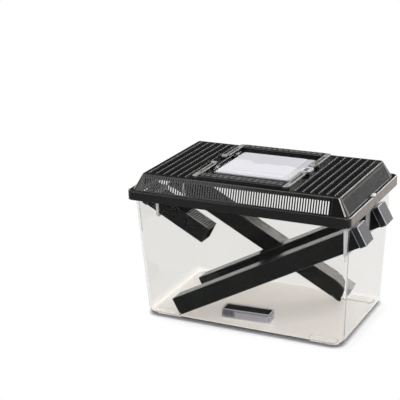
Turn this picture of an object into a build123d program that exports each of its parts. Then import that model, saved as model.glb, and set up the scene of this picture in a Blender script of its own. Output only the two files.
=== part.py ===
from build123d import *
from math import atan2, cos, hypot, radians, sin
import os

# Clear insect-keeping pen: a tapered see-through tub, a black slotted lid with a feeding door and two
# carry handles, four slanting square tubes that pull out through the ends, and a small feeding tray.
# Millimetres. The origin is on the ground under the middle of the pen, +X to the right end, +Z up, and
# the front is towards -Y. The right and left ends are laid out alike, but for their ports.

# ---- driving dimensions ----
length, width = 300.0, 188.0  # outside of the lid's rim
plateau_z = 194.4  # flat top of the lid
rim_bottom_z, rim_top_z = 162.0, 173.3  # the lid's upright skirt
foot_height = 2.0
tub_wall, lid_wall = 2.0, 2.2
rest_gap = 0.3  # between pieces that lift or swing apart

tub_bottom_length, tub_bottom_width = 271.0, 163.0
tub_top_length, tub_top_width = 289.6, 178.0
tub_corner = 14.0
tub_edge_round = 6.0

plateau_length, plateau_width = 264.8, 162.4
slope_foot_length, slope_foot_width = 288.4, 176.4

tube_angle = 28.0  # the tubes climb outwards at this angle
tube_size = 24.0
tube_wall = 1.6
tube_centre_z = 64.3  # height of a tube's centre line over the middle of the pen
tube_outer_end = 171.0  # along the centre line, from that point to the cap
# each tube: the end it climbs to, its distance behind the middle, and its inner end along the centre line
tubes = {
    "front_right": (+1, -63.5, -106.0),
    "back_right": (+1, 13.0, -106.0),
    "back_left": (-1, 56.0, -109.0),
    "front_left": (-1, -19.5, 79.5),
}
port_clearance = 0.5
cap_size, cap_depth = 26.0, 9.4

handle_pivot_y = 16.0
handle_half_length, handle_bar_edge_y = 65.2, 74.5
door_hinge_x, door_hinge_z = -51.0, 196.9
door_right_x, door_half_width = 54.5, 45.0
door_pan_right_x = 46.5

tray_length, tray_width, tray_height = 66.0, 20.4, 12.2
tray_x, tray_y, tray_turn = -3.0, -47.8, 3.5  # its middle, and how far it stands turned

# ---- sizes that follow ----
ledge_bottom_z = rim_top_z - lid_wall
tub_top_z = ledge_bottom_z - rest_gap
floor_z = foot_height + tub_wall
slope_height = plateau_z - rim_top_z


def tapered_block(low_size, high_size, low_z, high_z, low_corner, high_corner):
    """A block with rounded upright corners whose plan changes evenly from low_size to high_size."""
    low = Plane.XY.offset(low_z) * RectangleRounded(*low_size, low_corner)
    high = Plane.XY.offset(high_z) * RectangleRounded(*high_size, high_corner)
    return loft([low.face(), high.face()], ruled=True)


def box_between(low, high):
    """A box given by its lowest and highest corners."""
    size = [b - a for a, b in zip(low, high)]
    centre = [(a + b) / 2 for a, b in zip(low, high)]
    return Pos(*centre) * Box(*size)


def rod(centre, axis, radius, rod_length):
    """A round bar with its middle at centre, lying along axis."""
    return Plane(origin=centre, z_dir=axis) * Cylinder(radius, rod_length)


def save(name, solid):
    """Writes one piece to its own file under its own name."""
    os.makedirs("parts", exist_ok=True)
    export_step(Compound(label=name, children=list(solid.solids())), f"parts/{name}.step")


# ---- ports: where each tube goes through an end wall ----
def port(side, y):
    """Frame on a tube's centre line: X runs up and out along the tube, Z is square to it, up."""
    lean = radians(tube_angle)
    return Plane(
        origin=(0, y, tube_centre_z),
        x_dir=(side * cos(lean), 0, sin(lean)),
        z_dir=(-side * sin(lean), 0, cos(lean)),
    )


ports = {place: port(side, y) for place, (side, y, _) in tubes.items()}


# ---- tub ----
def make_tub():
    """The clear tub with its lip, four feet, four square ports and the short sleeves inside them."""
    outside = tapered_block(
        (tub_bottom_length, tub_bottom_width), (tub_top_length, tub_top_width),
        foot_height, tub_top_z, tub_corner, tub_corner,
    )
    outside = fillet(outside.edges().group_by(Axis.Z)[0], tub_edge_round)
    inside = tapered_block(
        (tub_bottom_length - 2 * tub_wall, tub_bottom_width - 2 * tub_wall),
        (tub_top_length - 2 * tub_wall, tub_top_width - 2 * tub_wall),
        floor_z, tub_top_z, tub_corner - tub_wall, tub_corner - tub_wall,
    )
    inside = fillet(inside.edges().group_by(Axis.Z)[0], tub_edge_round - tub_wall)

    lip_height, lip_reach = 2.5, 1.8
    lip_size = (tub_top_length + 2 * lip_reach, tub_top_width + 2 * lip_reach)
    lip = Pos(0, 0, tub_top_z - lip_height) * extrude(
        RectangleRounded(*lip_size, tub_corner + lip_reach), lip_height
    )

    sleeve_wall, sleeve_depth = 2.2, 5.0
    hole_size = tube_size + 2 * port_clearance
    sleeve_size = hole_size + 2 * sleeve_wall
    sleeve_inner_x = tub_top_length / 2 - tub_wall - sleeve_depth - 1
    tub = outside + lip - inside
    for frame in ports.values():
        side = 1 if frame.x_dir.X > 0 else -1
        near_end = box_between((sleeve_inner_x, -width, 0), (length, width, plateau_z))
        near_end = near_end if side > 0 else mirror(near_end, Plane.YZ)
        sleeve = frame * Pos(tube_outer_end / 2, 0, 0) * Box(2 * tube_outer_end, sleeve_size, sleeve_size)
        tub += sleeve & near_end & outside
        tub -= frame * Pos(tube_outer_end, 0, 0) * Box(tube_outer_end, hole_size, hole_size)

    foot_length, foot_width = 36.0, 14.0
    foot_x, foot_y = 108.0, 67.5
    for x in (-foot_x, foot_x):
        for y in (-foot_y, foot_y):
            foot = extrude(RectangleRounded(foot_length, foot_width, 4), foot_height + tub_wall / 2)
            tub += Pos(x, y, 0) * foot
    return tub


# ---- lid ----
# Each grille is a flat panel let into a window of the same size. The four slopes have upright slots with
# a row of blind notches over them, and the top has ribs from front to back with cross slits between them.
slot_pitch, slot_width = 3.37, 1.9
front_slots, front_slot_shift, end_slots = 74, -3.2, 45
slope_panel_thickness, top_panel_thickness = 1.3, 2.0
panel_margin = 0.8
panel_side_border = 2.6
slot_foot, tie_bar_height = 0.6, 0.9
notch_height, notch_depth = 2.8, 0.7
rib_count, rib_pitch, rib_width, rib_height = 6, 10.2, 1.1, 1.1
first_rib_x = 73.6
top_panel_inner_x, top_panel_outer_x, top_panel_half_width = 71.2, 127.5, 76.5
slit_rows, slit_pitch, slit_width, slit_length = 50, 3.0, 1.3, 7.4


def slope_frame(direction):
    """Frame on the middle of one slope's outer face: X level along it, Y up it, Z out of it."""
    along_x = direction[0] != 0
    foot = (slope_foot_length if along_x else slope_foot_width) / 2
    top = (plateau_length if along_x else plateau_width) / 2
    reach = (foot + top) / 2
    tilt = atan2(foot - top, slope_height)
    return Plane(
        origin=(direction[0] * reach, direction[1] * reach, rim_top_z + slope_height / 2),
        x_dir=(-direction[1], direction[0], 0),
        z_dir=(direction[0] * cos(tilt), direction[1] * cos(tilt), sin(tilt)),
    )


def slope_panel_size(direction):
    """Width along the slope and height up it of the panel on one slope."""
    along_x = direction[0] != 0
    slots = end_slots if along_x else front_slots
    run = (slope_foot_length - plateau_length if along_x else slope_foot_width - plateau_width) / 2
    return slots * slot_pitch + 2 * panel_side_border, hypot(slope_height, run) - 2 * panel_margin


def panel_shift(direction):
    """The front and back panels sit a little to the left of the middle, seen from outside."""
    return Pos(0 if direction[0] != 0 else front_slot_shift, 0, 0)


def slope_panel(direction):
    """One slotted slope panel, flush with the lid's outer face."""
    panel_width, panel_height = slope_panel_size(direction)
    slots = end_slots if direction[0] != 0 else front_slots
    notch_top = panel_height / 2 - slot_foot
    slot_bottom = -panel_height / 2 + slot_foot
    slot_top = notch_top - notch_height - tie_bar_height
    slot_height = slot_top - slot_bottom
    spots = GridLocations(slot_pitch, 1, slots, 1)
    face = Rectangle(panel_width, panel_height)
    face -= Pos(0, (slot_top + slot_bottom) / 2) * spots * Rectangle(slot_width, slot_height)
    notches = Pos(0, notch_top - notch_height / 2) * spots * Rectangle(slot_width, notch_height)
    panel = extrude(face, -slope_panel_thickness) - extrude(Sketch() + notches, -notch_depth)
    return slope_frame(direction) * panel_shift(direction) * panel


def top_panel(side):
    """One slitted half of the flat top, with its ribs standing up from it."""
    panel_length = top_panel_outer_x - top_panel_inner_x
    centre_x = (top_panel_outer_x + top_panel_inner_x) / 2
    rib_centre_x = first_rib_x + (rib_count - 1) * rib_pitch / 2
    face = Pos(centre_x, 0) * Rectangle(panel_length, 2 * top_panel_half_width)
    face -= Pos(rib_centre_x, 0) * GridLocations(rib_pitch, slit_pitch, rib_count - 1, slit_rows) * Rectangle(
        slit_length, slit_width
    )
    panel = Pos(0, 0, plateau_z - top_panel_thickness) * extrude(face, top_panel_thickness)
    rib_bottom_z = plateau_z - top_panel_thickness / 2
    rib = Box(rib_width, 2 * top_panel_half_width, plateau_z + rib_height - rib_bottom_z)
    rib = fillet(rib.edges().filter_by(Axis.Y).group_by(Axis.Z)[-1], 0.45 * rib_width)
    rib_z = (plateau_z + rib_height + rib_bottom_z) / 2
    panel += [Pos(first_rib_x + n * rib_pitch, 0, rib_z) * rib for n in range(rib_count)]
    return panel if side > 0 else mirror(panel, Plane.YZ)


slopes = {"front": (0, -1), "back": (0, 1), "right": (1, 0), "left": (-1, 0)}

handle_axis_z = plateau_z + rest_gap + 2.8
handle_pin_radius, running_clearance = 1.8, 0.05
handle_ear_x, handle_ear_thickness = 66.6, 4.0
door_pin_radius = 1.1
door_lug_y, door_lug_width, door_ear_thickness, door_ear_gap = 32.0, 8.0, 3.0, 0.4


def ear(x, y, axis, axis_z, radius, thickness, hole_radius):
    """An upright lug on the lid's top with a cross hole for a moulded pin."""
    half_x, half_y = (thickness / 2, radius) if axis[0] else (radius, thickness / 2)
    base = box_between((x - half_x, y - half_y, plateau_z - 0.5), (x + half_x, y + half_y, axis_z))
    lug = base + rod((x, y, axis_z), axis, radius, thickness)
    return lug - rod((x, y, axis_z), axis, hole_radius, 2 * thickness)


def make_lid():
    """The lid's shell: skirt, ledge, four slopes and flat top, with windows for the grilles and the door."""
    rim_corner, hip_foot_corner, hip_top_corner = 9.0, 5.0, 3.0
    plateau_edge_round = 1.5
    skirt = Pos(0, 0, rim_bottom_z) * extrude(
        RectangleRounded(length, width, rim_corner), rim_top_z - rim_bottom_z
    )
    skirt = fillet(skirt.edges().group_by(Axis.Z)[-1], 1.0)
    # a low bead round the ledge's outer edge, broken at the middle of each end
    bead_inset, bead_width, bead_height, bead_gap = 0.3, 2.0, 1.0, 16.0
    bead_length, bead_span = length - 2 * bead_inset, width - 2 * bead_inset
    bead = RectangleRounded(bead_length, bead_span, rim_corner - bead_inset) - RectangleRounded(
        bead_length - 2 * bead_width, bead_span - 2 * bead_width, rim_corner - bead_inset - bead_width
    )
    bead = Pos(0, 0, rim_top_z - 1) * extrude(bead, bead_height + 1)
    bead = fillet(bead.edges().group_by(Axis.Z)[-1], 0.7)
    bead -= Pos(0, 0, rim_top_z + bead_height) * Box(length + 10, bead_gap, 2 * bead_height)
    skirt -= Pos(0, 0, rim_bottom_z) * extrude(
        RectangleRounded(length - 2 * lid_wall, width - 2 * lid_wall, rim_corner - lid_wall),
        ledge_bottom_z - rim_bottom_z,
    )
    crown = tapered_block(
        (slope_foot_length, slope_foot_width), (plateau_length, plateau_width),
        rim_top_z - 0.4, plateau_z, hip_foot_corner, hip_top_corner,
    )
    crown = fillet(crown.edges().group_by(Axis.Z)[-1], plateau_edge_round)
    hollow_foot = (slope_foot_length - 2 * lid_wall - 0.4, slope_foot_width - 2 * lid_wall - 0.2)
    hollow_top = (plateau_length - 2 * lid_wall, plateau_width - 2 * lid_wall)
    hollow = tapered_block(
        hollow_foot, hollow_top, ledge_bottom_z - 1, plateau_z - lid_wall, hip_foot_corner, hip_top_corner
    )
    lid = skirt + bead + crown - hollow

    for direction in slopes.values():
        window = Box(*slope_panel_size(direction), 6 * lid_wall)
        lid -= slope_frame(direction) * panel_shift(direction) * window
    top_window = box_between(
        (top_panel_inner_x, -top_panel_half_width, plateau_z - 2 * lid_wall),
        (top_panel_outer_x, top_panel_half_width, plateau_z + lid_wall),
    )
    lid -= [top_window, mirror(top_window, Plane.YZ)]

    door_sill = 4.0
    lid -= box_between(
        (door_hinge_x + 3 + door_sill, -door_half_width + door_sill, plateau_z - 2 * lid_wall),
        (door_pan_right_x - door_sill, door_half_width - door_sill, plateau_z + lid_wall),
    )

    handle_hole = handle_pin_radius + running_clearance
    for x in (-handle_ear_x - handle_ear_thickness / 2, handle_ear_x + handle_ear_thickness / 2):
        for y in (-handle_pivot_y, handle_pivot_y):
            lid += ear(x, y, (1, 0, 0), handle_axis_z, 3.0, handle_ear_thickness, handle_hole)
    ear_offset = door_lug_width / 2 + door_ear_gap + door_ear_thickness / 2
    for y in (-door_lug_y, door_lug_y):
        for step in (-ear_offset, ear_offset):
            lid += ear(
                door_hinge_x, y + step, (0, 1, 0), door_hinge_z, 2.5, door_ear_thickness,
                door_pin_radius + running_clearance,
            )
    # a raised rail between the door's two pairs of ears
    rail_left_x, rail_right_x, rail_top_z = -55.2, door_hinge_x - 1.4, 198.9
    rail_half_width = door_lug_y - door_lug_width / 2 - door_ear_gap - door_ear_thickness
    rail = box_between(
        (rail_left_x, -rail_half_width, plateau_z - 0.5), (rail_right_x, rail_half_width, rail_top_z)
    )
    lid += fillet(rail.edges().group_by(Axis.Z)[-1], 1.2)

    # a rounded thumb boss in the middle of each end of the rim, over a small drain hole in the skirt
    boss_width, boss_reach, boss_height = 11.0, 5.4, 3.4
    boss = extrude(RectangleRounded(boss_reach, boss_width, 2.5), boss_height)
    boss = fillet(boss.edges().group_by(Axis.Z)[-1], 1.6)
    for side in (-1, 1):
        boss_x = side * (length / 2 - boss_reach / 2 - 0.2)
        lid += Pos(boss_x, 0, rim_top_z - 0.5) * boss
        lid -= rod((side * length / 2, 0, rim_bottom_z + 2.6), (1, 0, 0), 1.3, 4 * lid_wall)
    return lid


# ---- door ----
def make_door():
    """The feeding door: a flanged plate with a raised, hollow middle, hinge lugs and a finger tab."""
    sheet = 1.6
    bottom_z = plateau_z + rest_gap
    flange_z = bottom_z + sheet
    left_x = door_hinge_x + 3
    raise_height, flange_border = 1.4, 1.5
    flange = extrude(RectangleRounded(door_right_x - left_x, 2 * door_half_width, 3), sheet)
    door = Pos((left_x + door_right_x) / 2, 0, bottom_z) * flange
    centre_x = (left_x + flange_border + door_pan_right_x) / 2
    pan_length, pan_width = door_pan_right_x - left_x - flange_border, 2 * (door_half_width - flange_border)
    top_length, top_width = pan_length - 2 * raise_height, pan_width - 2 * raise_height
    pan = tapered_block(
        (pan_length, pan_width), (top_length, top_width), flange_z - 0.2, flange_z + raise_height, 5, 4
    )
    pocket = tapered_block(
        (pan_length - 2 * sheet, pan_width - 2 * sheet), (top_length - 2 * sheet, top_width - 2 * sheet),
        bottom_z - 0.2, flange_z + raise_height - sheet, 4, 3,
    )
    door += Pos(centre_x, 0, 0) * pan
    door -= Pos(centre_x, 0, 0) * pocket

    barrel_radius = door_hinge_z - bottom_z
    pin_length = door_lug_width + 2 * (door_ear_gap + door_ear_thickness)
    for y in (-door_lug_y, door_lug_y):
        door += box_between(
            (door_hinge_x, y - door_lug_width / 2, bottom_z), (left_x + 1, y + door_lug_width / 2, flange_z)
        )
        door += rod((door_hinge_x, y, door_hinge_z), (0, 1, 0), barrel_radius, door_lug_width)
        door += rod((door_hinge_x, y, door_hinge_z), (0, 1, 0), door_pin_radius, pin_length)

    # a raised rib along the free edge, and in its middle a finger tab: a loop standing up round a slot
    edge_rib_width, edge_rib_height = 1.6, 1.0
    edge_rib = Box(edge_rib_width, 2 * (door_half_width - 3), edge_rib_height)
    door += Pos(door_right_x - edge_rib_width, 0, flange_z + edge_rib_height / 2) * edge_rib
    tab_reach, tab_width, tab_height = 11.5, 22.0, 3.6
    slot_size = (6.0, 13.0)
    tab_overlap = 4.0
    tab_x = door_right_x + (tab_reach - tab_overlap) / 2
    slot = Pos(0.5, 0) * RectangleRounded(*slot_size, 2)
    loop = extrude(RectangleRounded(tab_reach + tab_overlap, tab_width, 4) - slot, tab_height)
    loop = fillet(loop.edges().group_by(Axis.Z)[-1], 1.0)
    door += Pos(tab_x, 0, bottom_z) * loop
    door -= Pos(tab_x, 0, bottom_z) * extrude(slot, tab_height)
    return door


# ---- carry handles ----
def make_handle(side):
    """One U-shaped handle lying flat round the door; side is -1 for the front one and 1 for the back."""
    arm_width, bar_width, thickness, corner, edge_round = 8.0, 14.0, 3.5, 4.0, 0.9
    bottom_z = plateau_z + rest_gap
    frame_depth = handle_bar_edge_y - handle_pivot_y
    outline = Rectangle(2 * handle_half_length, frame_depth)
    outline = fillet(outline.vertices().group_by(Axis.Y)[0], corner)
    inner_depth = frame_depth - bar_width
    gap = Pos(0, bar_width / 2) * Rectangle(2 * (handle_half_length - arm_width), inner_depth)
    gap = fillet(gap.vertices().group_by(Axis.Y)[0], corner / 2)
    handle = extrude(outline - gap, thickness)
    handle = fillet(handle.edges().group_by(Axis.Z)[-1], edge_round)
    handle = Pos(0, -(handle_bar_edge_y + handle_pivot_y) / 2, bottom_z) * handle

    # a channel down each arm, and three rows of short raised grips on the bar
    arm_x = handle_half_length - arm_width / 2
    groove_width, groove_depth = 3.2, 1.3
    groove_length = inner_depth - 5
    for x in (-arm_x, arm_x):
        groove_y = -handle_pivot_y - inner_depth / 2
        handle -= Pos(x, groove_y, bottom_z + thickness - groove_depth / 2) * Box(
            groove_width, groove_length, groove_depth
        )
    grip_length, grip_width, grip_height, grip_pitch, grip_row_pitch = 5.8, 1.3, 0.9, 8.0, 3.7
    grips = GridLocations(grip_pitch, grip_row_pitch, 14, 3) * Rectangle(grip_length, grip_width)
    bar_y = -handle_bar_edge_y + bar_width / 2
    handle += Pos(0, bar_y, bottom_z + thickness - 0.2) * extrude(Sketch() + grips, grip_height + 0.2)

    barrel_radius = handle_axis_z - bottom_z
    for x in (-arm_x, arm_x):
        handle += rod((x, -handle_pivot_y, handle_axis_z), (1, 0, 0), barrel_radius, arm_width)
        out = 1 if x > 0 else -1
        pin_length = handle_ear_x + handle_ear_thickness - handle_half_length + 1
        pin_x = out * (handle_half_length - 1 + pin_length / 2)
        handle += rod((pin_x, -handle_pivot_y, handle_axis_z), (1, 0, 0), handle_pin_radius, pin_length)
    return handle if side < 0 else mirror(handle, Plane.XZ)


# ---- tubes and their caps ----
def make_tube(inner_end, end_round, grooves_on_top):
    """A square tube along X, open at inner_end, with a ladder of cross grooves near that end."""
    edge_round = 1.0
    half = tube_size / 2
    side_view = Pos((tube_outer_end + inner_end) / 2, 0) * Rectangle(tube_outer_end - inner_end, tube_size)
    lower_corner = side_view.vertices().sort_by(Axis.X)[:2].sort_by(Axis.Y)[0]
    side_view = fillet(lower_corner, end_round)
    upright = Plane.XZ * side_view
    tube = extrude(upright, half, both=True)
    long_edges = tube.edges().filter_by(Axis.X)
    tube = fillet(long_edges, edge_round)
    bore = tube_size - 2 * tube_wall
    tube -= Pos((tube_outer_end + inner_end) / 2, 0, 0) * Box(2 * (tube_outer_end - inner_end), bore, bore)

    groove_count, groove_pitch, groove_width, groove_depth = 11, 3.2, 1.7, 0.7
    first_groove = 3.0 if grooves_on_top else end_round + 2
    groove_face = half if grooves_on_top else -half
    groove = Box(groove_width, tube_size - 4, 2 * groove_depth)
    for n in range(groove_count):
        tube -= Pos(inner_end + first_groove + n * groove_pitch, 0, groove_face) * groove
    return tube


def make_cap():
    """The cap on a tube's outer end: a square head, and a plug that is pushed into the tube."""
    plug_depth = 8.0
    bore = tube_size - 2 * tube_wall
    head = Pos(tube_outer_end + cap_depth / 2, 0, 0) * Box(cap_depth, cap_size, cap_size)
    head = fillet(head.edges().filter_by(Axis.X) + head.edges().group_by(Axis.X)[-1], 1.1)
    plug = Pos(tube_outer_end - plug_depth / 2, 0, 0) * Box(plug_depth, bore, bore)
    hollow = Pos(tube_outer_end - plug_depth / 2, 0, 0) * Box(plug_depth, bore - 3, bore - 3)
    return head + plug - hollow


# ---- feeding tray and its pads: made round the tray's own middle, with Z from its underside ----
tray_wall, pad_rest_width = 1.4, 2.0
tray_divider_x = -tray_length / 2 + 17.5
short_part = (-tray_length / 2 + tray_wall, tray_divider_x - tray_wall / 2)  # from x to x
long_part = (tray_divider_x + tray_wall / 2, tray_length / 2 - tray_wall)
long_pad_thickness = 4.2
pad_top_z = tray_height - 0.9
long_pad_bottom_z = pad_top_z - long_pad_thickness
tray_place = Pos(tray_x, tray_y, floor_z + rest_gap) * Rot(0, 0, tray_turn)


def make_tray():
    """The clear two-part tray that stands loose on the floor, with low ridges along its long sides."""
    inner_half_width = tray_width / 2 - tray_wall
    tray = extrude(RectangleRounded(tray_length, tray_width, 1.5), tray_height)
    tray -= box_between(
        (short_part[0], -inner_half_width, tray_wall), (long_part[1], inner_half_width, tray_height)
    )
    for left_x, right_x in (short_part[1], long_part[0]), (long_part[1] - pad_rest_width, long_part[1]):
        tray += box_between(
            (left_x, -inner_half_width, tray_wall / 2), (right_x, inner_half_width, long_pad_bottom_z)
        )
    ridge_count, ridge_pitch, first_ridge_z, ridge_width, ridge_proud = 5, 1.7, 2.0, 0.6, 0.35
    ridge_length = long_part[1] - long_part[0] - 2
    for side in (-1, 1):
        for n in range(ridge_count):
            ridge = Box(ridge_length, ridge_proud + tray_wall / 2, ridge_width)
            ridge_y = side * (tray_width / 2 + ridge_proud / 2 - tray_wall / 4)
            tray += Pos(sum(long_part) / 2, ridge_y, first_ridge_z + n * ridge_pitch) * ridge
    return tray


def make_pad(left_x, right_x, bottom_z, top_z):
    """A foam pad between the tray's long sides, a little narrower than the space."""
    slack = 0.15
    half_width = tray_width / 2 - tray_wall - slack
    return box_between((left_x + slack, -half_width, bottom_z), (right_x - slack, half_width, top_z))


save("tub", make_tub())
save("lid", make_lid())
for slope, outward in slopes.items():
    save(f"lid_grille_{slope}", slope_panel(outward))
save("lid_grille_top_right", top_panel(1))
save("lid_grille_top_left", top_panel(-1))
save("door", make_door())
save("handle_front", make_handle(-1))
save("handle_back", make_handle(1))
for place, frame in ports.items():
    inner_end = tubes[place][2]
    if inner_end > 0:
        tube = make_tube(inner_end, end_round=1.5, grooves_on_top=True)
    else:
        tube = make_tube(inner_end, end_round=5.0, grooves_on_top=False)
    save(f"tube_{place}", frame * tube)
    save(f"tube_cap_{place}", frame * make_cap())
save("feeding_tray", tray_place * make_tray())
save("pad_short", tray_place * make_pad(*short_part, tray_wall, long_pad_bottom_z))
save("pad_long", tray_place * make_pad(short_part[0], long_part[1], long_pad_bottom_z, pad_top_z))
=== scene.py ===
import math

import bmesh
import bpy
from mathutils import Matrix, Vector, noise


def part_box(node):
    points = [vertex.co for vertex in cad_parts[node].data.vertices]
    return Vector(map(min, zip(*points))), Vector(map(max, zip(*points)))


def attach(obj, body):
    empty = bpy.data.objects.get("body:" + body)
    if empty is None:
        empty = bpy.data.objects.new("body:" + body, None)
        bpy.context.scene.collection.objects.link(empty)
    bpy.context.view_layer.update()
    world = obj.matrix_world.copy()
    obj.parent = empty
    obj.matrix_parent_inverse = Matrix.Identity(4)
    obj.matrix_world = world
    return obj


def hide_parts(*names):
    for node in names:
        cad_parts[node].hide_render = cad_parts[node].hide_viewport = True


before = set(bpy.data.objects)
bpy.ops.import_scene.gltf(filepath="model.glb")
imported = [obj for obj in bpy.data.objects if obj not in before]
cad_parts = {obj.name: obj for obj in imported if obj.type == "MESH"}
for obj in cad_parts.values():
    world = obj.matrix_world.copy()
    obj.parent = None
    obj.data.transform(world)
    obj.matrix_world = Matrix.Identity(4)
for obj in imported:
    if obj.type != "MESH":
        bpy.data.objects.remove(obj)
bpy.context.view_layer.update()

# ======== Tub ========
# One clear polystyrene injection moulding, 2 mm thick, standing on four low feet. The lid's skirt drops
# over its lip, and its end walls have four square ports with short guides for the tubes.


class Finish:
    """A moulding's material under construction: its node tree, and short calls that add nodes to it."""

    def __init__(self, name):
        self.material = bpy.data.materials.new(name)
        self.material.use_nodes = True
        self.tree = self.material.node_tree
        self.tree.nodes.clear()
        self.output = self.add("ShaderNodeOutputMaterial")
        self.place = self.add("ShaderNodeTexCoord").outputs["Object"]

    def add(self, kind, **settings):
        node = self.tree.nodes.new(kind)
        for key, value in settings.items():
            setattr(node, key, value)
        return node

    def link(self, source, target):
        self.tree.links.new(source, target)

    def stretched(self, stretch, turn=(0, 0, 0)):
        """The place on the piece, drawn out by stretch along axes turned by turn: grain that runs one way."""
        mapping = self.add("ShaderNodeMapping", vector_type="TEXTURE")
        mapping.inputs["Scale"].default_value = stretch
        mapping.inputs["Rotation"].default_value = turn
        self.link(self.place, mapping.inputs["Vector"])
        return mapping.outputs["Vector"]

    def cloud(self, scale, detail=3.0, place=None):
        """Smooth random shades of about that many patches in a metre."""
        node = self.add("ShaderNodeTexNoise")
        node.inputs["Scale"].default_value = scale
        node.inputs["Detail"].default_value = detail
        self.link(place or self.place, node.inputs["Vector"])
        return node.outputs["Fac"]

    def between(self, value, low, high, start=0.3, end=0.7):
        """value from start to end, turned into low to high."""
        node = self.add("ShaderNodeMapRange", clamp=True)
        for key, number in (("From Min", start), ("From Max", end), ("To Min", low), ("To Max", high)):
            node.inputs[key].default_value = number
        self.link(value, node.inputs["Value"])
        return node.outputs["Result"]

    def part_of(self, share, most):
        """A share from 0 to 1, brought down to at most that much."""
        return self.between(share, 0, most, 0, 1)

    def blend(self, share, first, second):
        """A colour between first and second; each is a colour or another node's output."""
        node = self.add("ShaderNodeMix", data_type="RGBA")
        self.link(share, node.inputs["Factor"])
        for socket, colour in ((node.inputs[6], first), (node.inputs[7], second)):
            if isinstance(colour, tuple):
                socket.default_value = (*colour, 1)
            else:
                self.link(colour, socket)
        return node.outputs[2]

    def relief(self, height, depth, under=None):
        """Raised and sunk places of that depth in metres, on top of the relief under them."""
        node = self.add("ShaderNodeBump")
        node.inputs["Distance"].default_value = depth
        self.link(height, node.inputs["Height"])
        if under:
            self.link(under, node.inputs["Normal"])
        return node.outputs["Normal"]

    def parts(self, place):
        """The three coordinates of a place."""
        node = self.add("ShaderNodeSeparateXYZ")
        self.link(place, node.inputs[0])
        return node.outputs[0], node.outputs[1], node.outputs[2]

    def sizes(self, value):
        """A number without its sign."""
        node = self.add("ShaderNodeMath", operation="ABSOLUTE")
        self.link(value, node.inputs[0])
        return node.outputs[0]

    def join(self, operation, first, second):
        """Two outputs put together by that sum."""
        node = self.add("ShaderNodeMath", operation=operation)
        self.link(first, node.inputs[0])
        self.link(second, node.inputs[1])
        return node.outputs[0]

    def larger(self, first, second):
        return self.join("MAXIMUM", first, second)

    def times(self, first, second):
        return self.join("MULTIPLY", first, second)

    def softened(self, radius):
        """Edges that catch the light as if rounded to that radius in metres."""
        node = self.add("ShaderNodeBevel", samples=4)
        node.inputs["Radius"].default_value = radius
        return node.outputs["Normal"]

    def edges(self, reach):
        """1 on the piece's outer edges and 0 further than reach metres from them, rounded edges too."""
        inner = self.add("ShaderNodeAmbientOcclusion", samples=6, inside=True, only_local=True)
        inner.inputs["Distance"].default_value = reach
        return self.between(inner.outputs["AO"], 1.0, 0.0, 0.55, 0.92)


def put_on(material, *nodes):
    """The named CAD pieces get this material."""
    for name in nodes:
        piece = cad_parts[name]
        if not piece.material_slots:
            piece.data.materials.append(material)
        for slot in piece.material_slots:
            slot.material = material


def clear_moulding(name, tint, edge_line_share, milky_part):
    """Clear polystyrene: faint mould ripple, scratches from rubbing, white painted highlight lines at its
    edges, and a milky look wherever milky_part says."""
    edge_reach, ripple_depth = 0.0010, 0.00003
    smooth, scratched = 0.01, 0.05
    milk_and_highlight_white = (0.97, 0.95, 1.0)
    finish = Finish(name)
    clear = finish.add("ShaderNodeBsdfPrincipled")
    # under the plastic's own 1.59, so that the thin walls mirror as little as they do in soft light
    clear.inputs["IOR"].default_value = 1.2
    # painted highlight: the edges painted milky white as the bright lines that clear edges show
    painted_edge_lines = finish.between(finish.edges(edge_reach), 0, edge_line_share, 0.15, 0.9)
    milk_and_highlight = finish.larger(painted_edge_lines, milky_part(finish))
    finish.link(finish.blend(milk_and_highlight, tint, milk_and_highlight_white), clear.inputs["Base Color"])
    finish.link(finish.between(milk_and_highlight, 1.0, 0.0, 0, 1), clear.inputs["Transmission Weight"])
    scratches = finish.cloud(600, 5, finish.stretched((1, 1, 14), (0, 0.5, 0.3)))
    finish.link(finish.between(scratches, smooth, scratched, 0.5, 0.75), clear.inputs["Roughness"])
    finish.link(finish.relief(finish.cloud(9, 1), ripple_depth), clear.inputs["Normal"])
    # the lamps shine through it, a little dimmed
    lamp_path = finish.add("ShaderNodeBsdfTransparent")
    lamp_path.inputs["Color"].default_value = (0.95, 0.95, 0.95, 1)
    mix = finish.add("ShaderNodeMixShader")
    finish.link(finish.add("ShaderNodeLightPath").outputs["Is Shadow Ray"], mix.inputs["Fac"])
    finish.link(clear.outputs[0], mix.inputs[1])
    finish.link(lamp_path.outputs[0], mix.inputs[2])
    finish.link(mix.outputs[0], finish.output.inputs["Surface"])
    return finish.material


def guide_milk(finish):
    """The guides inside the end walls, where the moulding is thick and looks milky: how much, by place."""
    along, across, up = finish.parts(finish.place)
    outward, sideways = finish.sizes(along), finish.sizes(across)
    guide_x, guide_half_span, guide_foot_z, foot_fade, blur = 0.1366, 0.0785, 0.112, 0.004, 0.0004
    wall_foot_x, wall_lean = 0.1333, 0.055
    from_wall = finish.join("SUBTRACT", outward, finish.between(up, 0, wall_lean, 0, 1))
    guides = finish.times(
        finish.between(outward, 0, 1, guide_x - blur, guide_x),
        finish.between(from_wall, 1, 0, wall_foot_x - blur, wall_foot_x),
    )
    guides = finish.times(guides, finish.between(sideways, 1, 0, guide_half_span, guide_half_span + blur))
    streaks = finish.between(finish.cloud(160, 2, finish.stretched((1, 1, 6))), 0.7, 1.0)
    over_foot = finish.between(up, 0, 1, guide_foot_z, guide_foot_z + foot_fade)
    return finish.times(finish.times(guides, streaks), over_foot)


put_on(clear_moulding("tub_clear", (0.885, 0.880, 0.868), edge_line_share=0.6, milky_part=guide_milk), "tub")

# ======== Tubes ========
# Four square tubes of black polypropylene, 24 mm across, which slant through the ports. Each has a ladder
# of cross grooves near its open inner end, so that an insect can grip there.


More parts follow.
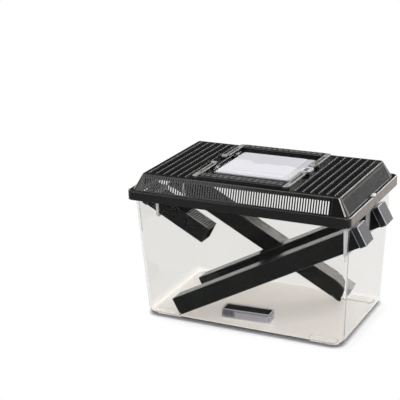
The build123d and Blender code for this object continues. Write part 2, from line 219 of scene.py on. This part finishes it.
def black_moulding(
    name, colour, wear_and_highlight_colour, roughness, shine, grain_stretch=(1, 1, 1), grain_turn=(0, 0, 0),
    edge_reach=0.0008, edge_round=0.0005, rubbed_part=None, dusty_colour=None,
):
    """Black moulded plastic: faint flow clouds, a fine grain that may run one way, and edges painted paler,
    partly as wear and partly as painted highlight lines. rubbed_part turns that share at the edges into the
    share all over the piece, and dusty_colour is the colour where that share is low."""
    grain_depth = 0.000005
    flow_colour = tuple(c * 1.5 + 0.002 for c in colour)
    finish = Finish(name)
    plastic = finish.add("ShaderNodeBsdfPrincipled")
    plastic.inputs["IOR"].default_value = 1.49
    plastic.inputs["Specular IOR Level"].default_value = shine
    grain = finish.cloud(900, 4, finish.stretched(grain_stretch, grain_turn))
    flow = finish.blend(finish.between(finish.cloud(22), 0, 1), colour, flow_colour)
    # paler edges: partly wear, and partly painted highlight lines standing for the light that edges catch
    rub = finish.edges(edge_reach)
    if rubbed_part:
        rub = rubbed_part(finish, rub)
    patchy = finish.times(rub, finish.between(finish.cloud(120), 0.6, 1.0))
    wear_and_highlight_tone = finish.blend(rub, dusty_colour or wear_and_highlight_colour, wear_and_highlight_colour)
    finish.link(finish.blend(patchy, flow, wear_and_highlight_tone), plastic.inputs["Base Color"])
    finish.link(finish.between(grain, roughness * 0.8, roughness * 1.3), plastic.inputs["Roughness"])
    finish.link(finish.relief(grain, grain_depth, finish.softened(edge_round)), plastic.inputs["Normal"])
    finish.link(plastic.outputs[0], finish.output.inputs["Surface"])
    return finish.material


tube_lean = math.radians(28)
tube_centre_z = 0.0643


def tube_place(finish):
    """How far out along a tube's centre line a place is, and how far over that line, in metres."""
    along, _, up = finish.parts(finish.place)
    outward = finish.sizes(along)
    across_lean, up_lean = math.cos(tube_lean), math.sin(tube_lean)
    reach = finish.join(
        "ADD",
        finish.between(outward, 0, across_lean, 0, 1),
        finish.between(up, -tube_centre_z * up_lean, (1 - tube_centre_z) * up_lean, 0, 1),
    )
    height = finish.join(
        "SUBTRACT",
        finish.between(up, -tube_centre_z * across_lean, (1 - tube_centre_z) * across_lean, 0, 1),
        finish.between(outward, 0, up_lean, 0, 1),
    )
    return reach, height


def rung_highlights(finish, rub):
    """Painted highlights: on the edges, and on the rungs of the short tube's upper face between its cross
    grooves.
    """
    reach, height = tube_place(finish)
    ladder_start, ladder_end, half_size, near = 0.081, 0.116, 0.012, 0.0002
    rungs = finish.times(
        finish.between(reach, 0, 1, ladder_start - near, ladder_start),
        finish.between(reach, 1, 0, ladder_end, ladder_end + near),
    )
    rungs = finish.times(rungs, finish.between(height, 0, 1, half_size - 2 * near, half_size - near))
    return finish.larger(finish.part_of(rub, 0.3), rungs)


def tube_black(name, lean, wear_and_highlight_colour, rubbed_part=None):
    """Polypropylene with a green cast, and its grain drawn out along the tube."""
    return black_moulding(
        name, colour=(0.003, 0.0045, 0.0034), wear_and_highlight_colour=wear_and_highlight_colour, roughness=0.14, shine=0.25,
        grain_stretch=(16, 1, 1), grain_turn=(0, lean, 0), rubbed_part=rubbed_part,
    )


# painted highlights: gray lines along the tubes' edges, and near-white rungs on the short tube's upper face
edge_highlight_gray, rung_highlight_white = (0.30, 0.31, 0.29), (0.93, 0.96, 0.93)
put_on(tube_black("tube_black_right", -tube_lean, edge_highlight_gray), "tube_front_right", "tube_back_right")
put_on(tube_black("tube_black_left", tube_lean, edge_highlight_gray), "tube_back_left")
put_on(tube_black("tube_black_short", tube_lean, rung_highlight_white, rung_highlights), "tube_front_left")

# ======== Tube caps ========
# A square pull-off cap of smooth black plastic on each tube's outer end. It is moulded with a hollow plug,
# which is pushed into the tube.


def cap_rim_highlight(finish, rub):
    """Painted highlights: on the edges, and a near-white line on the rounded rim of the cap's outer end."""
    reach, _ = tube_place(finish)
    end_reach, rim_round = 0.1804, 0.0011
    rim = finish.times(
        finish.between(reach, 0, 1, end_reach - rim_round, end_reach - 0.8 * rim_round),
        finish.between(reach, 1, 0, end_reach - 0.1 * rim_round, end_reach - 0.03 * rim_round),
    )
    return finish.larger(finish.part_of(rub, 0.75), rim)


# the near-white colour is painted highlight, on the cap's edges and on its outer rim
cap_black = black_moulding(
    "cap_black", colour=(0.010, 0.0105, 0.013), wear_and_highlight_colour=(0.95, 0.95, 1.0), roughness=0.2, shine=0.5,
    edge_reach=0.0010, rubbed_part=cap_rim_highlight,
)
put_on(cap_black, "tube_cap_front_right", "tube_cap_back_right", "tube_cap_back_left", "tube_cap_front_left")

# ======== Feeding tray ========
# A small clear tray in two parts, moulded in the same plastic as the tub, with low ridges along its sides.
# It stands loose on the floor.


def tray_haze(finish):
    """Sides a little hazy from the mould's draw marks, milky ridges, and painted white highlight lines along
    the rim and foot.
    """
    along, _, up = finish.parts(finish.place)
    foot_z, rim_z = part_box("feeding_tray")[0].z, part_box("feeding_tray")[1].z
    line, blur, divider_x, first_ridge, ridge_pitch = 0.0005, 0.0001, -0.0185, 0.0020, 0.0017
    marks = finish.between(finish.cloud(260, 2, finish.stretched((12, 12, 1))), 0.05, 0.18)
    # a wave with a crest on each ridge: its own angle grows by 20 for each unit of place and scale
    waves = finish.add("ShaderNodeTexWave", bands_direction="Z")
    waves.inputs["Scale"].default_value = math.tau / (20 * ridge_pitch)
    waves.inputs["Phase Offset"].default_value = math.pi - math.tau * (foot_z + first_ridge) / ridge_pitch
    finish.link(finish.place, waves.inputs["Vector"])
    ridges = finish.between(waves.outputs["Fac"], 0, 0.6, 0.80, 0.95)
    ridges = finish.times(ridges, finish.between(along, 0, 1, divider_x, divider_x + blur))
    # painted highlight lines along the rim and the foot
    rim = finish.between(up, 0, 0.95, rim_z - line, rim_z - line + blur)
    foot = finish.between(up, 0.95, 0, foot_z + line, foot_z + line + blur)
    return finish.larger(finish.larger(marks, ridges), finish.larger(rim, foot))


put_on(clear_moulding("tray_clear", (0.84, 0.85, 0.89), edge_line_share=0.95, milky_part=tray_haze), "feeding_tray")

# ======== Feeding pads ========
# Open-celled black foam, cut from sheet: a long strip across both parts, on a short block in the left one.
# They soak up water for the crickets.


def foam_finish():
    """Black open-celled foam: pits of two sizes, paler at the cut cell walls."""
    cells_in_a_metre, lumps_in_a_metre, pit_depth, lump_depth = 1100, 450, 0.0006, 0.0008
    pit_black, wall_gray = (0.006, 0.006, 0.006), (0.04, 0.042, 0.04)
    finish = Finish("foam_black")
    foam = finish.add("ShaderNodeBsdfPrincipled")
    cells = finish.add("ShaderNodeTexVoronoi")
    cells.inputs["Scale"].default_value = cells_in_a_metre
    finish.link(finish.place, cells.inputs["Vector"])
    pits = finish.between(cells.outputs["Distance"], 0, 1, 0.1, 0.6)
    lumps = finish.between(finish.cloud(lumps_in_a_metre, 4), 0, 1)
    finish.link(finish.blend(pits, pit_black, wall_gray), foam.inputs["Base Color"])
    foam.inputs["Roughness"].default_value = 0.95
    foam.inputs["Specular IOR Level"].default_value = 0.2
    finish.link(finish.relief(pits, pit_depth, finish.relief(lumps, lump_depth)), foam.inputs["Normal"])
    finish.link(foam.outputs[0], finish.output.inputs["Surface"])
    return finish.material


def cut_foam(name, node, material):
    """A foam block the size of its CAD solid, turned as the tray is, with eased edges and a rough skin."""
    turn, step, edge_ease = math.radians(3.5), 0.0012, 0.0008
    coarse_pores, fine_pores, pore_depth = 900, 2200, 0.00018
    low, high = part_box(node)
    spread, centre = high - low, (high + low) / 2
    across, along = math.sin(turn), math.cos(turn)
    # the solid's own length and width, from the box round it as it stands turned
    size = Vector((
        (spread.x * along - spread.y * across) / (along**2 - across**2),
        (spread.y * along - spread.x * across) / (along**2 - across**2),
        spread.z,
    ))
    mesh = bmesh.new()
    bmesh.ops.create_cube(mesh, size=1.0, matrix=Matrix.Diagonal((*size, 1)))
    bmesh.ops.bevel(mesh, geom=mesh.edges[:], offset=edge_ease, segments=3, profile=0.6, affect="EDGES")
    for axis in range(3):
        count = int(size[axis] / step)
        for n in range(1, count):
            cut = -size / 2
            cut[axis] += size[axis] * n / count
            normal = Vector([1.0 if a == axis else 0.0 for a in range(3)])
            bmesh.ops.bisect_plane(
                mesh, geom=mesh.verts[:] + mesh.edges[:] + mesh.faces[:], plane_co=cut, plane_no=normal
            )
    for vertex in mesh.verts:
        rough = noise.noise(vertex.co * coarse_pores) + 0.6 * noise.noise(vertex.co * fine_pores)
        vertex.co -= vertex.co.normalized() * pore_depth * (1 + rough)
    mesh.transform(Matrix.Translation(centre) @ Matrix.Rotation(turn, 4, "Z"))
    data = bpy.data.meshes.new(name)
    mesh.to_mesh(data)
    mesh.free()
    data.shade_smooth()
    pad = bpy.data.objects.new(name, data)
    bpy.context.scene.collection.objects.link(pad)
    data.materials.append(material)
    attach(pad, "feeding_tray")
    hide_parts(node)


foam = foam_finish()
cut_foam("short_foam_pad", "pad_short", foam)
cut_foam("long_foam_pad", "pad_long", foam)

# ======== Lid ========
# One glossy black polystyrene moulding: a skirt, a ledge, four slotted slopes and a flat top with ribs and
# slits. It lifts straight off the tub.


def end_highlights(finish, rub):
    """Painted light on the lid: highlights on its four hips, and at its two ends on the edges and on the bead
    with its thumb boss, and, as a faint painted warm reflection, a little all over the skirt."""
    along, across, up = finish.parts(finish.place)
    outward, sideways = finish.sizes(along), finish.sizes(across)
    lid_end, lid_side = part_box("lid")[1].x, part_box("lid")[1].y
    skirt_top_z, bead_top_z, top_z, blur = 0.1733, 0.1743, 0.1944, 0.0002
    hip_foot_inset, hip_top_inset_x, hip_top_inset_y = 0.0083, 0.0191, 0.0143
    highlight_from, highlight_fully, bead_reach = 0.022, 0.014, 0.0025
    boss_half_width, boss_reach = 0.0055, 0.0056

    def past(value, limit):
        return finish.between(finish.join("SUBTRACT", value, limit), 0, 1, -blur, blur)

    hip_x = finish.between(up, lid_end - hip_foot_inset, lid_end - hip_top_inset_x, skirt_top_z, top_z)
    hip_y = finish.between(up, lid_side - hip_foot_inset, lid_side - hip_top_inset_y, skirt_top_z, top_z)
    hips = finish.times(past(outward, hip_x), past(sideways, hip_y))
    hips = finish.times(hips, finish.between(up, 0, 0.9, bead_top_z, bead_top_z + blur))

    off_the_sides = finish.between(sideways, 1, 0.12, lid_side - 5 * blur, lid_side - 3 * blur)
    near_end = finish.between(outward, 0.05, 1, lid_end - highlight_from, lid_end - highlight_fully)
    edges = finish.times(rub, near_end)
    bead = finish.times(
        finish.between(outward, 0, 1, lid_end - bead_reach - blur, lid_end - bead_reach),
        finish.between(up, 0, 1, bead_top_z - 2 * blur, bead_top_z),
    )
    boss = finish.times(
        finish.between(sideways, 1, 0, boss_half_width, boss_half_width + blur),
        finish.between(up, 0, 1, skirt_top_z + 2 * blur, skirt_top_z + 4 * blur),
    )
    by_the_end = finish.between(outward, 0, 1, lid_end - boss_reach - blur, lid_end - boss_reach)
    boss = finish.times(boss, by_the_end)
    skirt_end = finish.between(outward, 0, 0.24, lid_end - 3 * blur, lid_end - 1.5 * blur)
    rubbed = finish.larger(finish.larger(edges, bead), finish.larger(boss, skirt_end))
    return finish.larger(finish.times(rubbed, off_the_sides), hips)


def rib_top_highlights(finish, _):
    """The tops of the ribs, which stand highest on the lid's top and are the only places there given a
    painted highlight line.
    """
    _, _, up = finish.parts(finish.place)
    highest, unhighlighted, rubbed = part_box("lid_grille_top_left")[1].z, 0.00025, 0.00008
    return finish.between(up, 0, 1, highest - unhighlighted, highest - rubbed)


def lid_black(name, wear_and_highlight_colour, shine=0.5, **paler_places):
    """The lid's polystyrene, with its grain drawn out from front to back, and paler as the settings given
    say: wear and painted highlights.
    """
    return black_moulding(
        name, colour=(0.003, 0.0033, 0.0036), wear_and_highlight_colour=wear_and_highlight_colour, roughness=0.16, shine=shine,
        grain_stretch=(1, 4, 1), **paler_places,
    )


# painted light: a warm white for the highlights on the lid's hips, bead, boss and end edges, and a tan for
# the warm reflection on its skirt's ends
painted_highlight_white, painted_reflection_tan = (0.95, 0.93, 0.91), (0.74, 0.50, 0.29)
# the ribs' gray is a painted highlight line along their tops
slot_gray, rib_highlight_gray = (0.10, 0.095, 0.10), (0.26, 0.26, 0.27)
put_on(
    lid_black("lid_black", painted_highlight_white, dusty_colour=painted_reflection_tan, edge_reach=0.0009, rubbed_part=end_highlights),
    "lid",
)
put_on(
    lid_black("slope_black", slot_gray, edge_reach=0.0004),
    "lid_grille_front", "lid_grille_back", "lid_grille_left", "lid_grille_right",
)
put_on(
    lid_black("rib_black", rib_highlight_gray, shine=0.25, edge_reach=0.0002, edge_round=0.0002, rubbed_part=rib_top_highlights),
    "lid_grille_top_left", "lid_grille_top_right",
)

# ======== Door ========
# A door of thin clear plastic with a milky raised middle. It turns on two moulded pins at its left edge and
# is lifted by the loop on its right one.


def door_moulding():
    """Clear plastic, milky in the door's raised middle: faint flow clouds, fine scratches, painted edge
    highlights and reflection.
    """
    pan_left_x, pan_right_x, pan_half_width, blur = -0.0465, 0.0455, 0.0435, 0.0004
    dark_line_y, dark_line_left_x, dark_line_fade, dark_line_half_width = -0.031, -0.034, 0.006, 0.0004
    edge_reach, edge_round, less_on_flange, dimple_depth = 0.0010, 0.0004, 0.3, 0.0001
    front_white, reflected_gray, flow_white = (0.88, 0.87, 0.91), (0.68, 0.68, 0.73), (0.80, 0.79, 0.84)
    dark_line_gray, clear_tint = (0.50, 0.49, 0.55), (0.93, 0.93, 0.94)
    finish = Finish("door_milky")
    plastic = finish.add("ShaderNodeBsdfPrincipled")
    plastic.inputs["IOR"].default_value = 1.3
    along, across, _ = finish.parts(finish.place)
    sideways = finish.sizes(across)
    over_pan = finish.between(along, 0, 1, pan_left_x, pan_left_x + blur)
    pan = finish.times(
        finish.times(over_pan, finish.between(along, 1, 0, pan_right_x - blur, pan_right_x)),
        finish.between(sideways, 1, 0, pan_half_width - blur, pan_half_width),
    )
    # painted white highlights along the edges, fainter left of the pan
    edge = finish.between(finish.edges(edge_reach), 0.3, 0.9, 0, 1)
    edge = finish.times(edge, finish.between(over_pan, less_on_flange, 1, 0, 1))
    flange = finish.part_of(over_pan, 0.75)
    milk_and_highlight = finish.larger(finish.larger(finish.part_of(pan, 0.92), flange), edge)
    flow = finish.between(finish.cloud(26), 0, 1)
    # painted reflection: the back of the pan painted grayer, with a wavy edge
    wavy_across = finish.join("ADD", across, finish.between(finish.cloud(20, 1), -0.01, 0.01))
    painted_reflection = finish.blend(finish.between(wavy_across, 0, 1, 0, 0.004), front_white, reflected_gray)
    white = finish.blend(finish.part_of(flow, 0.3), painted_reflection, flow_white)
    # a painted dark reflection line along the pan's front, a little in from its edge
    from_dark_line = finish.sizes(finish.between(across, -1 - dark_line_y, 1 - dark_line_y, -1, 1))
    dark_line = finish.times(
        finish.between(from_dark_line, 0.6, 0, dark_line_half_width, 2 * dark_line_half_width),
        finish.times(finish.between(along, 0, 1, dark_line_left_x, dark_line_left_x + dark_line_fade), pan),
    )
    white = finish.blend(dark_line, white, dark_line_gray)
    finish.link(finish.blend(milk_and_highlight, clear_tint, white), plastic.inputs["Base Color"])
    finish.link(finish.between(milk_and_highlight, 1.0, 0.0, 0, 1), plastic.inputs["Transmission Weight"])
    scratches = finish.cloud(90, 5, finish.stretched((1, 9, 1), (0, 0, 0.4)))
    finish.link(finish.between(scratches, 0.05, 0.16, 0.5, 0.75), plastic.inputs["Roughness"])
    dimples = finish.relief(finish.cloud(18, 1), dimple_depth, finish.softened(edge_round))
    finish.link(dimples, plastic.inputs["Normal"])
    finish.link(plastic.outputs[0], finish.output.inputs["Surface"])
    return finish.material


put_on(door_moulding(), "door")

# ======== Carry handles ========
# Two U-shaped handles of the lid's black plastic, snapped into ears on the lid. They lie flat round the
# door and fold up together to be held in one hand.


def arm_highlights(finish, rub):
    """Painted highlights: a little on the edges, and on the tops of the arms and of the grips on the bar."""
    along, _, up = finish.parts(finish.place)
    arm_start_x, arm_top_z, groove_depth, grip_top_z, near = 0.0575, 0.1982, 0.0010, 0.1991, 0.0001
    arm_tops = finish.between(up, 0.12, 0.65, arm_top_z - groove_depth, arm_top_z - 3 * near)
    on_arm = finish.between(finish.sizes(along), 0, 1, arm_start_x - near, arm_start_x + near)
    arms = finish.times(arm_tops, on_arm)
    grips = finish.between(up, 0, 0.5, grip_top_z - 5 * near, grip_top_z - near)
    return finish.larger(finish.part_of(rub, 0.35), finish.larger(arms, grips))


# the pale gray is painted highlight, on the handles' edges, arm tops and grips
handle_black = black_moulding(
    "handle_black", colour=(0.002, 0.0022, 0.0022), wear_and_highlight_colour=(0.60, 0.60, 0.58), roughness=0.18, shine=0.5,
    grain_stretch=(4, 1, 1), edge_reach=0.0004, rubbed_part=arm_highlights,
)
put_on(handle_black, "handle_front", "handle_back")

# ======== Floor, light and camera ========
# A plain white table that shows white all round the box. A soft light overhead, a weaker one in front, and
# cards of light at the right and behind, which the lid's edges and the caps mirror.


def pale_floor():
    """A wide white floor that shows white all round the box, and its shadow, with a painted contact shadow,
    only under and close to it.
    """
    lip_to_foot, reach = 0.010, 1.0
    front_y, middle_y, back_y = -0.1, 0.0, 0.15
    table_white, unlit_gray, ivory = (0.80, 0.80, 0.80), (0.03, 0.03, 0.03), (1.0, 0.94, 0.88)
    glow_seen, glow_through_walls, contact_reach = 0.42, 0.60, 0.007
    bpy.ops.mesh.primitive_plane_add(size=14, location=(0, 0, -0.0002))
    floor = bpy.context.object
    floor.name = "floor"
    finish = Finish("floor_white")
    rays = finish.add("ShaderNodeLightPath").outputs
    along, across, _ = finish.parts(finish.place)
    tub_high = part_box("tub")[1]
    foot_x, foot_y = tub_high.x - lip_to_foot, tub_high.y - lip_to_foot
    outside = finish.larger(
        finish.between(finish.sizes(along), -reach, reach, foot_x - reach, foot_x + reach),
        finish.between(finish.sizes(across), -reach, reach, foot_y - reach, foot_y + reach),
    )
    seen = rays["Is Camera Ray"]
    # rays that came through the clear walls and were never mirrored see the floor white on every side
    mirrored_before = finish.between(rays["Glossy Depth"], 0, 1, 0, 1)
    straight = finish.between(mirrored_before, 1, 0, 0, 1)
    under_or_behind = finish.between(across, 0, 1, -foot_y - 0.02, -foot_y)
    through = finish.times(rays["Is Transmission Ray"], finish.larger(under_or_behind, straight))
    mirrored = finish.times(rays["Is Glossy Ray"], finish.between(across, 0.2, 1.0, front_y, back_y))

    white = finish.add("ShaderNodeBsdfDiffuse")
    indirect = finish.larger(rays["Is Glossy Ray"], rays["Is Transmission Ray"])
    in_front = finish.between(across, 0.85, 0, front_y, middle_y)
    unlit = finish.times(finish.times(indirect, mirrored_before), in_front)
    finish.link(finish.blend(unlit, table_white, unlit_gray), white.inputs["Color"])
    glow = finish.add("ShaderNodeEmission")
    share = finish.larger(finish.part_of(seen, glow_seen), finish.part_of(through, glow_through_walls))
    finish.link(finish.larger(share, finish.part_of(mirrored, glow_seen)), glow.inputs["Strength"])
    finish.link(finish.blend(through, (1, 1, 1), ivory), glow.inputs["Color"])
    both = finish.add("ShaderNodeAddShader")
    finish.link(white.outputs[0], both.inputs[0])
    finish.link(glow.outputs[0], both.inputs[1])

    # painted contact shadow: seen from the camera, the floor is painted dark blue-gray where the box comes
    # within 7 mm
    closeness = finish.add("ShaderNodeAmbientOcclusion", samples=8)
    closeness.inputs["Distance"].default_value = contact_reach
    painted_contact_shadow = finish.add("ShaderNodeBsdfDiffuse")
    painted_contact_shadow.inputs["Color"].default_value = (0.10, 0.10, 0.13, 1)
    near = finish.times(seen, finish.between(closeness.outputs["AO"], 0.85, 0, 0.3, 0.9))
    with_contact_shadow = finish.add("ShaderNodeMixShader")
    finish.link(near, with_contact_shadow.inputs["Fac"])
    finish.link(both.outputs[0], with_contact_shadow.inputs[1])
    finish.link(painted_contact_shadow.outputs[0], with_contact_shadow.inputs[2])

    pure = finish.add("ShaderNodeEmission")
    pure.inputs["Strength"].default_value = 1.0
    fade = finish.add("ShaderNodeMixShader")
    faded_rays = finish.larger(seen, finish.larger(through, mirrored))
    finish.link(finish.times(finish.between(outside, 0, 1, 0.002, 0.016), faded_rays), fade.inputs["Fac"])
    finish.link(with_contact_shadow.outputs[0], fade.inputs[1])
    finish.link(pure.outputs[0], fade.inputs[2])
    finish.link(fade.outputs[0], finish.output.inputs["Surface"])
    floor.data.materials.append(finish.material)


def studio_world():
    """Plain white behind the box. In reflections it is pale round the horizon and dimmer overhead, and it
    puts an even soft light on the box."""
    world = bpy.data.worlds.new("studio")
    bpy.context.scene.world = world
    world.use_nodes = True
    tree = world.node_tree
    tree.nodes.clear()
    place = tree.nodes.new("ShaderNodeTexCoord")
    split = tree.nodes.new("ShaderNodeSeparateXYZ")
    ramp = tree.nodes.new("ShaderNodeMapRange")
    low_slope, high_slope, pale, dim = 0.06, 0.22, 1.0, 0.09
    for key, number in (("From Min", low_slope), ("From Max", high_slope), ("To Min", pale), ("To Max", dim)):
        ramp.inputs[key].default_value = number
    mirrored = tree.nodes.new("ShaderNodeBackground")
    lit = tree.nodes.new("ShaderNodeBackground")
    lit.inputs["Color"].default_value = (0.97, 0.98, 1.0, 1)
    lit.inputs["Strength"].default_value = 0.42
    plain = tree.nodes.new("ShaderNodeBackground")
    plain.inputs["Color"].default_value = (1, 1, 1, 1)
    path = tree.nodes.new("ShaderNodeLightPath")
    mix = tree.nodes.new("ShaderNodeMixShader")
    behind = tree.nodes.new("ShaderNodeMixShader")
    out = tree.nodes.new("ShaderNodeOutputWorld")
    tree.links.new(place.outputs["Generated"], split.inputs[0])
    tree.links.new(split.outputs["Z"], ramp.inputs["Value"])
    tree.links.new(ramp.outputs[0], mirrored.inputs["Strength"])
    tree.links.new(path.outputs["Is Diffuse Ray"], mix.inputs["Fac"])
    tree.links.new(mirrored.outputs[0], mix.inputs[1])
    tree.links.new(lit.outputs[0], mix.inputs[2])
    tree.links.new(path.outputs["Is Camera Ray"], behind.inputs["Fac"])
    tree.links.new(mix.outputs[0], behind.inputs[1])
    tree.links.new(plain.outputs[0], behind.inputs[2])
    tree.links.new(behind.outputs[0], out.inputs["Surface"])


def soft_light(name, place, aim, size, power, colour=(1, 1, 1)):
    """A square area light at place, turned to aim."""
    light = bpy.data.lights.new(name, "AREA")
    light.shape = "RECTANGLE"
    light.size, light.size_y = size
    light.energy = power
    light.color = colour
    lamp = bpy.data.objects.new(name, light)
    lamp.location = place
    lamp.rotation_euler = (Vector(aim) - Vector(place)).to_track_quat("-Z", "Y").to_euler()
    bpy.context.scene.collection.objects.link(lamp)


pale_floor()
studio_world()
soft_light("overhead", (-0.25, 0.1, 1.6), (0, 0, 0.1), (1.2, 1.0), 14)
soft_light("front_fill", (-1.1, -1.5, 0.9), (0, 0, 0.1), (0.9, 0.9), 6)
soft_light("rim_card", (0.55, 1.7, 1.1), (0, 0, 0.15), (0.9, 0.5), 9, (1.0, 0.97, 0.93))
soft_light("right_card", (1.45, -0.95, 1.15), (0.1, 0, 0.15), (0.45, 0.45), 5)
soft_light("back_card", (1.5, 1.6, 0.25), (0.1, 0, 0.1), (1.6, 0.9), 5, (0.97, 0.96, 1.0))

camera_place = Vector((0.5705, -1.2889, 0.6329))
camera_aim = Vector((-0.0731, -0.0376, 0.1527))
camera_roll = math.radians(-1.84)
camera = bpy.data.objects.new("camera", bpy.data.cameras.new("camera"))
camera.data.lens = 103.9
camera.data.sensor_width = 36.0
camera.location = camera_place
look = (camera_aim - camera_place).to_track_quat("-Z", "Y")
camera.rotation_mode = "QUATERNION"
camera.rotation_quaternion = look @ Matrix.Rotation(camera_roll, 3, "Z").to_quaternion()
bpy.context.scene.collection.objects.link(camera)
bpy.context.scene.camera = camera
bpy.context.scene.view_settings.view_transform = "Standard"
